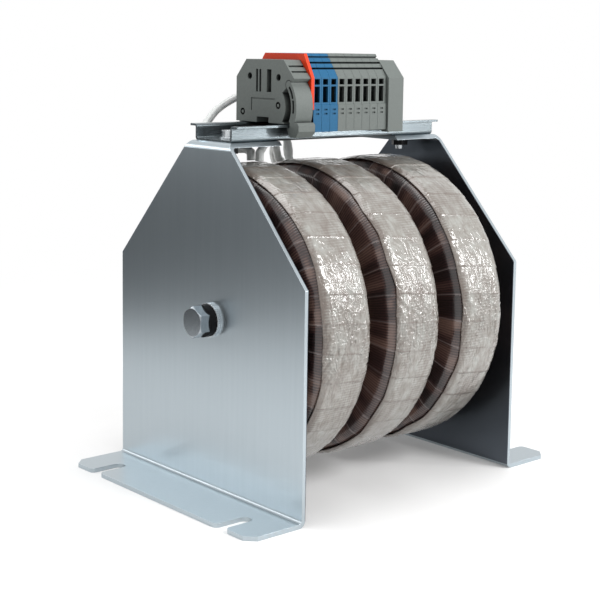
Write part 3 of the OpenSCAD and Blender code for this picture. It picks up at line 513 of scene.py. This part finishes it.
def tape_height(u, v, lap, crumple, seed):
    """Height of the film between its lowest and its highest, from 0 to 1."""
    swell = noise(u, v, SWELL_CELLS, seed)
    streaks = ridges(noise(u, v, STREAK_CELLS, seed + 1)) ** 5
    folds = ridges(noise(u, v, FOLD_CELLS, seed + 2)) ** 4
    crush = ridges(noise(u, v, CRUSH_CELLS, seed + 3)) ** 3
    calm = SWELL * swell + STREAK * streaks + FOLD * folds + LAP_STEP * (1 - lap)
    return np.clip(calm + crumple * (CRUSH * crush - CRUSH_LEVEL), 0, 1)


def tape_stain(u, v, lap, seed):
    """Dark lap edges, wires that show through, arcs, patches and thin rims, from 0 to 1."""
    lines = np.clip(1 - np.abs(lap - LINE_PLACE) * LINE_SHARPNESS, 0, 1)
    lines = lines * noise(u, v, LINE_CELLS, seed + 4)
    shown = np.clip(FINE_GAIN * noise(u, v, FINE_CELLS, seed + 5) - FINE_LEVEL, 0, 1)
    arcs = ridges(noise(u, v, ARC_CELLS, seed + 6)) ** 8
    patches = np.clip(noise(u, v, PATCH_CELLS, seed + 7) - PATCH_LEVEL, 0, 1)
    thin = np.clip(1 - np.minimum(v, 1 - v) / THIN_SHARE, 0, 1)
    thin = thin * (THIN_LEAST + THIN_MORE * noise(u, v, THIN_CELLS, seed + 8))
    return np.clip(LINE_DARK * lines + FINE_DARK * wire_tops(u) * shown
                   + ARC_DARK * arcs + PATCH_DARK * patches + thin, 0, 1)


def creases(tree, place, strength, scale, height, under):
    """Sharp folds of crumpled film, on top of another relief."""
    waves = noise_texture(tree, stretched(tree, place, CREASE_STRETCH), Scale=scale,
                          Detail=CREASE_DETAIL, Distortion=CREASE_BEND)
    folds = arithmetic(tree, "PINGPONG", waves, CREASE_WIDTH)
    relief = bump(tree, folds, height, under.outputs["Normal"])
    tree.links.new(strength, relief.inputs["Strength"])
    return relief


def tape_material():
    """White film tape with glossy creases; its stains and their strength come with the mesh."""
    material, tree, shader = new_material("film_tape")
    place = object_place(tree)
    grain = noise_texture(tree, place, Scale=TAPE_GRAIN, Detail=TAPE_GRAIN_DETAIL,
                          Roughness=TAPE_GRAIN_ROUGHNESS)
    stain, crush = attribute(tree, "stain"), attribute(tree, "crush")
    colour = tinted(tree, ramp(tree, grain, TAPE_TONES), STAIN_TINT, stain)
    tree.links.new(colour, shader.inputs["Base Color"])
    relief = bump(tree, grain, TAPE_FINE_RELIEF, Strength=TAPE_FINE_STRENGTH)
    relief = bump(tree, stain, TAPE_FINE_RELIEF, relief.outputs["Normal"],
                  Strength=TAPE_FINE_STRENGTH, invert=True)
    for scale, height in CREASES:
        relief = creases(tree, place, crush, scale, height, relief)
    for socket in ("Normal", "Coat Normal"):
        tree.links.new(relief.outputs["Normal"], shader.inputs[socket])
    set_sockets(shader, Roughness=0.38, Coat_Weight=1.0, Coat_Roughness=0.06)
    return material


def make_tape(coil, material):
    turn = np.linspace(0, FULL_TURN, TAPE_ROWS, endpoint=False)
    share = turn / FULL_TURN
    across = np.linspace(0, 1, TAPE_COLUMNS)[None, :]
    r, x, out_r, out_x = tape_section(across, *tape_edges(share, coil))
    u, v = np.broadcast_arrays(share[:, None], across)
    lap = (u * LAPS + LAP_SHIFT * coil + TAPE_LEAN * (v - 0.5)) % 1
    crumple = tape_crumple(u, v)
    seed = TAPE_SEED + 10 * coil
    sink = TAPE_RELIEF * (1 - tape_height(u, v, lap, crumple, seed))
    top = turned(r - out_r * sink, x - out_x * sink, turn[:, None], coil)
    under = turned(r - out_r * TAPE_T, x - out_x * TAPE_T, turn[:, None], coil)[:, ::-1]
    points = np.concatenate([top, under], axis=1)
    obj = add_mesh(f"rim_film_{coil + 1}", points.reshape(-1, 3),
                   grid_faces(TAPE_ROWS, 2 * TAPE_COLUMNS))
    crush = CREASE_CALM + (CREASE_MOST - CREASE_CALM) * crumple
    for name, values in (("stain", tape_stain(u, v, lap, seed)), ("crush", crush)):
        add_value(obj, name, np.concatenate([values, values[:, ::-1]], axis=1))
    obj.data.materials.append(material)
    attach(obj, ROOT)
    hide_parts(f"rim_tape_{coil + 1}")


SKIN, TAPE = skin_material(), tape_material()
for coil_number in range(COIL_COUNT):
    make_skin(coil_number, SKIN)
    make_tape(coil_number, TAPE)


# Background, in metres and degrees: strengths are 1 for white
FLOOR_HALF, FLOOR_GRAIN, FLOOR_ROUGHNESS = 6.0, 30.0, 0.7
FLOOR_TONES = [(0.3, (0.86, 0.86, 0.86)), (0.7, (0.88, 0.88, 0.88))]
FADE_FROM, FADE_TO, FADE_LEAST = 0.16, 0.60, 0.15
BOARD_YAW, BOARD_LIFT = math.radians(131.12), 0.5 * MM
BOARD_NEAR, BOARD_FAR, BOARD_HALF, BOARD_HEIGHT = 0.397, 0.7745, 0.447, 0.17
BOARD_GRAIN, BOARD_ROUGHNESS = 20.0, 0.9
BOARD_TONES = [(0.3, (0.020, 0.023, 0.026)), (0.7, (0.026, 0.029, 0.032))]
WORLD_LIGHT, WORLD_SEEN = 0.62, 1.0


def seen_rays(tree):
    """1 for the rays that show the background: camera, glossy and transmission rays."""
    rays = node(tree, "ShaderNodeLightPath")
    seen = rays.outputs["Is Camera Ray"]
    for name in ("Is Glossy Ray", "Is Transmission Ray"):
        seen = arithmetic(tree, "MAXIMUM", seen, rays.outputs[name])
    return seen


def stage_material(name, grain, tones, roughness):
    material, tree, shader = new_material(name)
    colour = ramp(tree, noise_texture(tree, object_place(tree), **grain), tones)
    tree.links.new(colour, shader.inputs["Base Color"])
    shader.inputs["Roughness"].default_value = roughness
    return material, tree, shader


def whiten_further_out(tree, shader):
    """Turn the seen floor to white away from the object; it lights nothing by that."""
    away = node(tree, "ShaderNodeVectorMath", operation="LENGTH")
    tree.links.new(object_place(tree), away.inputs[0])
    fade = node(tree, "ShaderNodeMapRange", interpolation_type="SMOOTHSTEP",
                From_Min=FADE_FROM, From_Max=FADE_TO, To_Min=FADE_LEAST)
    tree.links.new(away.outputs["Value"], fade.inputs["Value"])
    share = arithmetic(tree, "MULTIPLY", fade.outputs["Result"], seen_rays(tree))
    white = node(tree, "ShaderNodeEmission", Color=(1, 1, 1, 1), Strength=1.0)
    blend = node(tree, "ShaderNodeMixShader")
    tree.links.new(share, blend.inputs["Fac"])
    tree.links.new(shader.outputs["BSDF"], blend.inputs[1])
    tree.links.new(white.outputs["Emission"], blend.inputs[2])
    tree.links.new(blend.outputs["Shader"], tree.nodes["Material Output"].inputs["Surface"])


def make_floor():
    """A pale floor that keeps the object's shadow."""
    h = FLOOR_HALF
    corners = [(-h, -h, 0), (h, -h, 0), (h, h, 0), (-h, h, 0)]
    floor = add_mesh("floor", corners, [(0, 1, 2, 3)], smooth=False)
    material, tree, shader = stage_material(
        "floor", {"Scale": FLOOR_GRAIN, "Detail": 3.0}, FLOOR_TONES, FLOOR_ROUGHNESS)
    whiten_further_out(tree, shader)
    floor.data.materials.append(material)


def make_dark_board():
    """A dark board beside the object, lying and then standing, which the plates mirror."""
    way = Vector((math.cos(BOARD_YAW), math.sin(BOARD_YAW), 0))
    near, far = way * BOARD_NEAR, way * BOARD_FAR
    side = Vector((way.y, -way.x, 0)) * BOARD_HALF
    low, up = Vector((0, 0, BOARD_LIFT)), Vector((0, 0, BOARD_HEIGHT))
    corners = [near - side + low, near + side + low, far + side + low, far - side + low,
               far + side + up, far - side + up]
    board = add_mesh("dark_board", corners, [(0, 1, 2, 3), (3, 2, 4, 5)], smooth=False)
    material, _, _ = stage_material(
        "dark_board", {"Scale": BOARD_GRAIN}, BOARD_TONES, BOARD_ROUGHNESS)
    board.data.materials.append(material)
    board.visible_camera = board.visible_shadow = board.visible_diffuse = False


def make_world():
    world = bpy.data.worlds.new("studio")
    bpy.context.scene.world = world
    world.use_nodes = True
    tree = world.node_tree
    background = tree.nodes["Background"]
    background.inputs["Color"].default_value = (1, 1, 1, 1)
    strength = node(tree, "ShaderNodeMapRange", To_Min=WORLD_LIGHT, To_Max=WORLD_SEEN)
    tree.links.new(seen_rays(tree), strength.inputs["Value"])
    tree.links.new(strength.outputs["Result"], background.inputs["Strength"])


# Lamps: place, the point that each looks at, width and height in metres, and watts
LAMPS = {
    "key": {"place": (0.35, -0.9, 0.75), "target": (0, 0, 0.09),
            "size": (0.35, 0.35), "power": 8},
    "strip": {"place": (0.55, -0.62, 0.30), "target": (0, 0, 0.09),
              "size": (0.06, 0.40), "power": 1.9},
    "back_left": {"place": (-0.75, 0.89, 0.42), "target": (-0.085, 0, 0),
                  "size": (0.55, 0.30), "power": 1.5},
    "top": {"place": (-0.1, 0.1, 1.1), "target": (0, 0, 0.1),
            "size": (0.9, 0.9), "power": 8},
}


def add_light(name, place, target, size, power):
    data = bpy.data.lights.new(name, "AREA")
    data.shape, data.size, data.size_y, data.energy = "RECTANGLE", size[0], size[1], power
    lamp = bpy.data.objects.new(name, data)
    lamp.location = place
    way = Vector(target) - Vector(place)
    lamp.rotation_euler = way.to_track_quat("-Z", "Y").to_euler()
    bpy.context.scene.collection.objects.link(lamp)


make_floor()
make_dark_board()
make_world()
for lamp_name, lamp_settings in LAMPS.items():
    add_light(lamp_name, **lamp_settings)

bpy.context.scene.view_settings.view_transform = "Standard"
